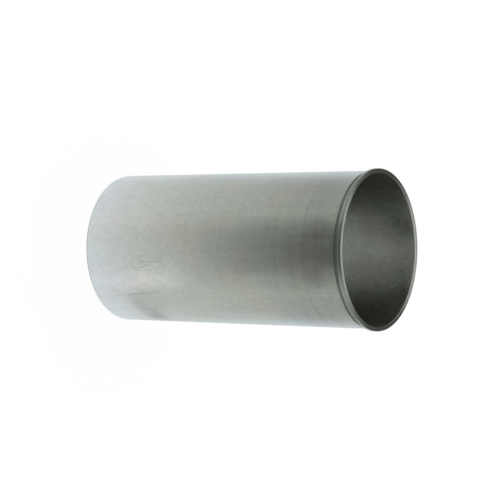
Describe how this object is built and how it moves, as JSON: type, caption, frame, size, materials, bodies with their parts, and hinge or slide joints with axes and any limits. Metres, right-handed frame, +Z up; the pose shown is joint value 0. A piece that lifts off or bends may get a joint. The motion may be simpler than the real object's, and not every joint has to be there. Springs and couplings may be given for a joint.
{
  "type": "cylinder liner",
  "caption": "Thin flanged dry cylinder liner: a ground metal sleeve with a narrow flange, a relief groove under it and a plain honed bore.",
  "frame": {"origin": "centre of the lower (skirt) end face, on the bore axis", "axes": "+Z up the bore axis, from the skirt end to the flanged head end; X and Y are free, because the part is round"},
  "size_m": [0.108, 0.108, 0.2065],
  "materials": {
    "ground_iron": "satin, fine ground"
  },
  "bodies": {
    "root": {"cylinder_liner": "ground_iron"}
  },
  "joints": []
}
